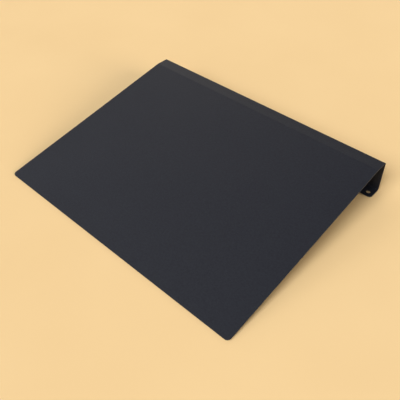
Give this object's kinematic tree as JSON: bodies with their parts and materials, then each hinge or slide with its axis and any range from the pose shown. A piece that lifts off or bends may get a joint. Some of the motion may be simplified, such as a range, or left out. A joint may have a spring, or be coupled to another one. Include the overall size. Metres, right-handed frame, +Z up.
{
  "type": "sloped desk board",
  "caption": "Sloped desk board folded from one steel sheet: a gently climbing top, a level ledge, an upright rear leg and a foot flange, standing on rubber pads.",
  "frame": {"origin": "on the desk, under the middle of the board's footprint", "axes": "+X across the board to its right end, +Y towards the raised rear edge, +Z up"},
  "size_m": [0.45, 0.35, 0.0565],
  "materials": {
    "coated_steel": "matte black powder coat with a fine texture",
    "rubber": "matte, moulded",
    "adhesive": "double-sided film"
  },
  "bodies": {
    "root": {"folded_board": "coated_steel", "front_left_rubber_pad": "rubber", "front_middle_rubber_pad": "rubber", "front_right_rubber_pad": "rubber", "rear_left_rubber_pad": "rubber", "rear_middle_rubber_pad": "rubber", "rear_right_rubber_pad": "rubber", "front_left_adhesive_film": "adhesive", "front_middle_adhesive_film": "adhesive", "front_right_adhesive_film": "adhesive", "rear_left_adhesive_film": "adhesive", "rear_middle_adhesive_film": "adhesive", "rear_right_adhesive_film": "adhesive"}
  },
  "joints": []
}
